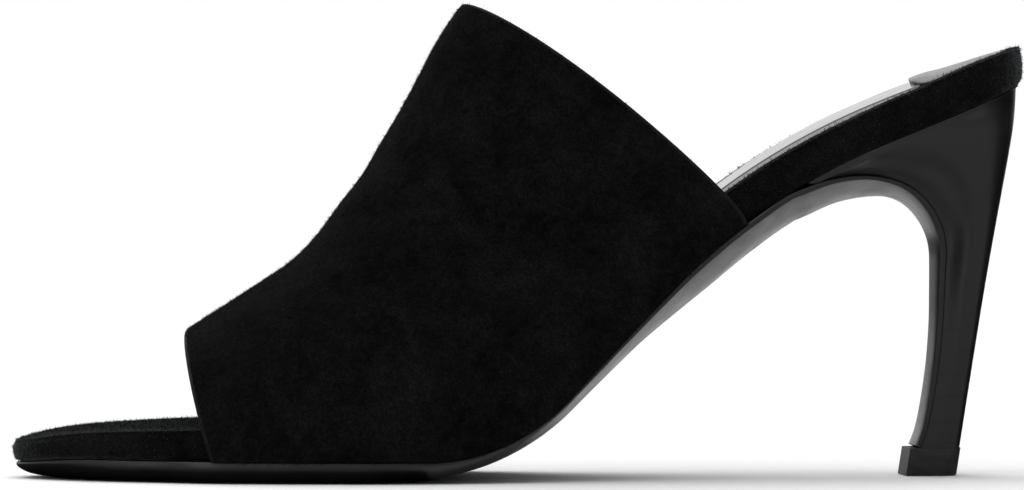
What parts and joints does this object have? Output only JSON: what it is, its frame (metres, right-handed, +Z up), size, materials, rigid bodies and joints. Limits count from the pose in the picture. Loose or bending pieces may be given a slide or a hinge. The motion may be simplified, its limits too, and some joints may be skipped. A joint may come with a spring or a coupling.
{
  "type": "high-heeled mule shoe",
  "caption": "Open-toe mule shoe with a wide suede band over the foot, a padded footbed and a slim curved high heel.",
  "frame": {"origin": "on the floor, under the middle of the shoe's bounding box", "axes": "+X from toe to heel, +Y to the inner side of the foot, +Z up from the floor"},
  "size_m": [0.2246, 0.0804, 0.1052],
  "materials": {
    "suede": "matte suede nap",
    "sock_leather": "smooth black leather",
    "pad_leather": "smooth dark grey leather",
    "sole_leather": "polished dark leather",
    "stacked_heel": "stacked leather under black satin lacquer",
    "lift_rubber": "dense hard rubber"
  },
  "bodies": {
    "root": {"upper": "suede", "footbed": "suede", "sock_lining": "sock_leather", "heel_pad": "pad_leather", "outsole": "sole_leather", "heel": "stacked_heel", "top_lift": "lift_rubber"}
  },
  "joints": []
}
